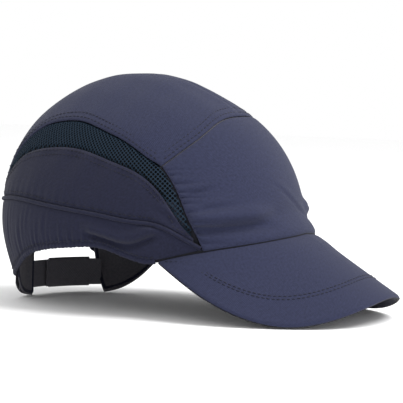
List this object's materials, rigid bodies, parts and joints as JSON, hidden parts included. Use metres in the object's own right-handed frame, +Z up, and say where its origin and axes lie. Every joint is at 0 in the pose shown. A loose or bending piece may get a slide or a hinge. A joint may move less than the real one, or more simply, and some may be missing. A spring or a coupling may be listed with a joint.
{
  "type": "bump cap",
  "caption": "Soft cap with a curved peak, mesh side vents, a hard inner shell with foam pads, and a rear hook-and-loop strap.",
  "frame": {"origin": "centre of the cap's box on the surface it stands on: mid-width, mid-length, at floor level", "axes": "+Z up, -Y forward along the peak, +X to the wearer's left"},
  "size_m": [0.1732, 0.2751, 0.1552],
  "materials": {
    "navy_fabric": "woven navy polyester-cotton, matt",
    "side_fabric": "woven navy stretch fabric, matt",
    "binding": "rolled elastic edge, matt",
    "mesh": "open knitted net, matt",
    "charcoal_fabric": "charcoal woven facing, matt",
    "loop_webbing": "brushed loop webbing, matt",
    "hook_tape": "moulded hook tape",
    "towelling": "looped sweatband cloth, matt",
    "board": "flexible moulded board",
    "shell": "satin injection-moulded",
    "foam": "closed-cell foam, matt"
  },
  "bodies": {
    "cap": {"front_panel": "navy_fabric", "crown_panel": "navy_fabric", "mesh_panel_right": "mesh", "mesh_panel_left": "mesh", "side_panel_right": "side_fabric", "side_panel_left": "side_fabric", "lower_panel_right": "side_fabric", "lower_panel_left": "side_fabric", "piping_right": "side_fabric", "piping_left": "side_fabric", "hem_binding_right": "binding", "hem_binding_left": "binding", "front_seam_tape": "charcoal_fabric", "rear_seam_tape": "charcoal_fabric", "peak_top_cover": "navy_fabric", "peak_board": "board", "peak_under_cover": "navy_fabric", "protective_shell": "shell", "brow_pad": "foam", "rear_pad": "foam", "crown_pad": "foam", "side_pad_right": "foam", "side_pad_left": "foam", "sweatband": "towelling", "wing_left": "charcoal_fabric", "wing_right": "charcoal_fabric", "pocket_cover": "charcoal_fabric", "loop_strap": "loop_webbing"},
    "hook_strap": {"hook_strap": "charcoal_fabric"},
    "hook_tab": {"hook_tab": "charcoal_fabric", "hook_pad": "hook_tape"}
  },
  "joints": [
    {"name": "strap_adjust", "type": "hinge", "parent": "cap", "child": "hook_strap", "pos_m": [-0.0051, 0.0514, 0.01425], "axis": [0, 0, -1], "range_deg": [-4, 4]},
    {"name": "strap_open", "type": "hinge", "parent": "hook_strap", "child": "hook_tab", "pos_m": [0.01478, 0.12309, 0.01425], "axis": [0, 0, 1], "range_deg": [0, 100]}
  ]
}
